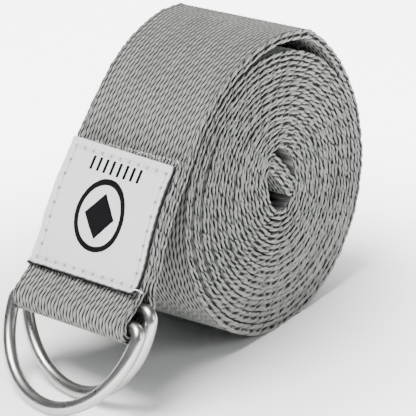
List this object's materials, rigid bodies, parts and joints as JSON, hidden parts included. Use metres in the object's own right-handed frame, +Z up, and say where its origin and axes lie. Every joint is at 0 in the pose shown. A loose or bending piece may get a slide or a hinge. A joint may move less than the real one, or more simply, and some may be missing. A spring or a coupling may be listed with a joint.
{
  "type": "stretching strap",
  "caption": "Rolled cotton webbing strap with D-rings in a folded-back loop, closed by a stitched label, and a hemmed inner end.",
  "frame": {"origin": "under the middle of the whole strap as it stands rolled up, on the surface it stands on", "axes": "+Z up; +Y along the roll's axis from the spiral face that shows to the hidden one; +X from the rings towards the roll"},
  "size_m": [0.0992, 0.045, 0.0709],
  "materials": {
    "cotton_webbing": "matte heathered grey cotton, ribbed along its length",
    "label_satin": "smooth light grey satin weave",
    "label_thread": "white sewing thread",
    "hem_thread": "grey sewing thread",
    "ring_steel": "polished bright steel wire"
  },
  "bodies": {
    "roll": {"webbing_roll": "cotton_webbing", "hem_thread": "hem_thread"},
    "loose_end": {"webbing_loose_end": "cotton_webbing", "sewn_label": "label_satin", "label_thread": "label_thread"},
    "ring_outer": {"d_ring_outer": "ring_steel"},
    "ring_inner": {"d_ring_inner": "ring_steel"}
  },
  "joints": [
    {"name": "loose_end_lift", "type": "hinge", "parent": "roll", "child": "loose_end", "pos_m": [0.03156, 0.00078, 0.06789], "axis": [0, 1, 0], "range_deg": [0, 45]},
    {"name": "ring_outer_swing", "type": "hinge", "parent": "loose_end", "child": "ring_outer", "pos_m": [-0.03536, -0.00002, 0.0204], "axis": [0.1561, 0.9853, -0.0698], "range_deg": [0, 100]},
    {"name": "ring_inner_swing", "type": "hinge", "parent": "loose_end", "child": "ring_inner", "pos_m": [-0.03106, -0.00002, 0.0229], "axis": [0.1561, 0.9853, -0.0698], "range_deg": [-65, 0]}
  ]
}
